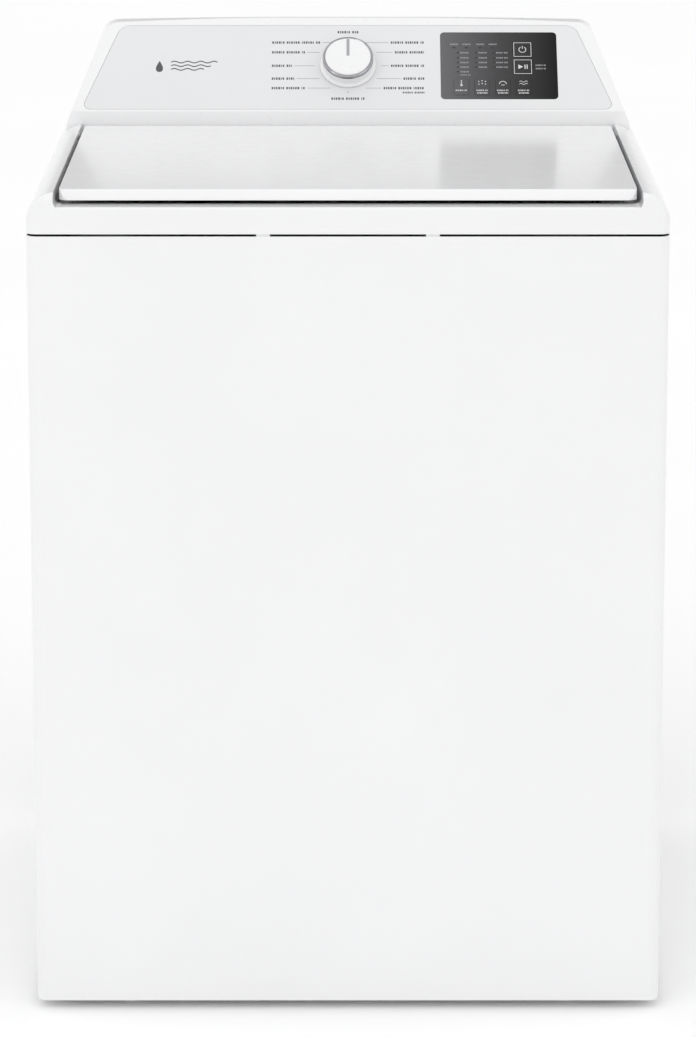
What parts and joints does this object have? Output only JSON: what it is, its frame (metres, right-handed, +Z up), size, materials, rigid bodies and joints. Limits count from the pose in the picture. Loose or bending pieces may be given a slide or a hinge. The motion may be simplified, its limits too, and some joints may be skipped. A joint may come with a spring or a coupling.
{
  "type": "top load washing machine",
  "caption": "Free-standing top load washer: white steel cabinet, hinged lid, sloping console with knob and keys, hanging tub, perforated basket, agitator and belt drive.",
  "frame": {"origin": "on the floor under the middle of the machine's box", "axes": "+Z up, the front faces -Y, +X is to the viewer's right when facing the front"},
  "size_m": [0.699, 0.686, 1.0467],
  "materials": {
    "white_enamel": "satin gloss enamel",
    "gloss_white_enamel": "high gloss enamel",
    "galvanised_steel": "spangled galvanised",
    "plated_steel": "zinc plated",
    "stainless": "brushed stainless",
    "white_plastic": "moulded, semi gloss",
    "fascia_plastic": "satin printed overlay",
    "grey_plastic": "moulded",
    "dark_plastic": "moulded",
    "tub_plastic": "moulded polypropylene",
    "agitator_plastic": "moulded polypropylene",
    "display_glass": "smoked gloss",
    "circuit_board": "solder mask",
    "chrome_trim": "polished",
    "pointer_grey": "satin",
    "black_rubber": "matt",
    "grey_rubber": "matt",
    "cast_aluminium": "as cast",
    "motor_steel": "painted black grey"
  },
  "bodies": {
    "cabinet": {"cabinet_shell": "white_enamel", "rear_panel": "galvanised_steel", "rear_panel_screws": "plated_steel", "base_frame": "galvanised_steel", "levelling_feet": "grey_plastic", "foot_lock_nuts": "plated_steel", "corner_brackets": "galvanised_steel", "suspension_rods": "plated_steel", "suspension_springs": "plated_steel", "top_panel": "white_enamel", "top_panel_clips": "white_enamel", "lid_bumpers": "grey_rubber", "hinge_bushings": "grey_plastic", "bleach_dispenser": "grey_plastic", "lid_lock_housing": "dark_plastic", "console_body": "white_plastic", "console_back_plate": "galvanised_steel", "console_screws": "plated_steel", "console_fascia": "fascia_plastic", "display_window": "display_glass", "user_interface_board": "circuit_board", "selector_encoder": "dark_plastic", "main_control_board": "circuit_board", "wire_harness": "dark_plastic", "pressure_switch": "grey_plastic", "pressure_tube": "black_rubber", "inlet_valve": "grey_plastic", "fill_hose": "black_rubber", "drain_port": "dark_plastic", "drain_riser": "black_rubber", "cord_gland": "dark_plastic"},
    "tub_unit": {"outer_tub": "tub_plastic", "tub_cover_ring": "tub_plastic", "gearcase": "cast_aluminium", "tub_bearing_and_seal": "plated_steel", "drive_motor": "motor_steel", "drive_belt": "black_rubber", "drain_pump": "dark_plastic"},
    "basket_unit": {"basket": "stainless", "balance_ring": "white_plastic"},
    "agitator_unit": {"agitator_base": "agitator_plastic", "agitator_auger": "agitator_plastic"},
    "pulley_unit": {"drive_pulley": "cast_aluminium"},
    "motor_rotor": {"motor_pulley": "cast_aluminium"},
    "impeller": {"pump_impeller": "grey_plastic"},
    "lid": {"lid_outer": "gloss_white_enamel", "lid_liner": "white_plastic", "lid_hinge_pins": "plated_steel", "lid_strike": "plated_steel"},
    "lock_bolt": {"lid_lock_bolt": "plated_steel"},
    "knob": {"knob_body": "white_plastic", "knob_ring": "chrome_trim", "knob_pointer": "pointer_grey", "knob_shaft": "plated_steel"},
    "power_button": {"power_key": "display_glass"},
    "start_button": {"start_key": "display_glass"},
    "option_button_1": {"option_key_1": "display_glass"},
    "option_button_2": {"option_key_2": "display_glass"},
    "option_button_3": {"option_key_3": "display_glass"},
    "option_button_4": {"option_key_4": "display_glass"}
  },
  "joints": [
    {"name": "tub_suspension", "type": "slide", "parent": "cabinet", "child": "tub_unit", "axis": [0, 0, 1], "range_m": [-0.03, 0.012], "stiffness_N_per_m": 16000, "springref_m": 0.0231, "deforming": ["suspension_springs", "pressure_tube", "drain_riser"]},
    {"name": "basket_spin", "type": "hinge", "parent": "tub_unit", "child": "basket_unit", "pos_m": [0, -0.011, 0.3], "axis": [0, 0, 1], "continuous": true},
    {"name": "agitator_turn", "type": "hinge", "parent": "basket_unit", "child": "agitator_unit", "pos_m": [0, -0.011, 0.33], "axis": [0, 0, 1], "continuous": true},
    {"name": "pulley_turn", "type": "hinge", "parent": "tub_unit", "child": "pulley_unit", "pos_m": [0, -0.011, 0.158], "axis": [0, 0, 1], "continuous": true},
    {"name": "motor_turn", "type": "hinge", "parent": "tub_unit", "child": "motor_rotor", "pos_m": [0.15, -0.011, 0.158], "axis": [0, 0, 1], "continuous": true},
    {"name": "pump_turn", "type": "hinge", "parent": "tub_unit", "child": "impeller", "pos_m": [-0.15, 0.059, 0.23], "axis": [0, 0, 1], "continuous": true},
    {"name": "lid_hinge", "type": "hinge", "parent": "cabinet", "child": "lid", "pos_m": [0, 0.133, 0.919], "axis": [-1, 0, 0], "range_deg": [0, 95]},
    {"name": "lock_bolt_slide", "type": "slide", "parent": "cabinet", "child": "lock_bolt", "axis": [-1, 0, 0], "range_m": [0, 0.006]},
    {"name": "cycle_knob", "type": "hinge", "parent": "cabinet", "child": "knob", "pos_m": [0, 0.19938, 0.99438], "axis": [0, -0.7071, 0.7071], "continuous": true},
    {"name": "power_press", "type": "slide", "parent": "cabinet", "child": "power_button", "axis": [0, 0.7071, -0.7071], "range_m": [0, 0.001], "stiffness_N_per_m": 500},
    {"name": "start_press", "type": "slide", "parent": "cabinet", "child": "start_button", "axis": [0, 0.7071, -0.7071], "range_m": [0, 0.001], "stiffness_N_per_m": 500},
    {"name": "option_1_press", "type": "slide", "parent": "cabinet", "child": "option_button_1", "axis": [0, 0.7071, -0.7071], "range_m": [0, 0.001], "stiffness_N_per_m": 500},
    {"name": "option_2_press", "type": "slide", "parent": "cabinet", "child": "option_button_2", "axis": [0, 0.7071, -0.7071], "range_m": [0, 0.001], "stiffness_N_per_m": 500},
    {"name": "option_3_press", "type": "slide", "parent": "cabinet", "child": "option_button_3", "axis": [0, 0.7071, -0.7071], "range_m": [0, 0.001], "stiffness_N_per_m": 500},
    {"name": "option_4_press", "type": "slide", "parent": "cabinet", "child": "option_button_4", "axis": [0, 0.7071, -0.7071], "range_m": [0, 0.001], "stiffness_N_per_m": 500}
  ],
  "couplings": [
    {"joint": "pulley_turn", "follows": "agitator_turn", "ratio": 5},
    {"joint": "motor_turn", "follows": "agitator_turn", "ratio": 20}
  ]
}
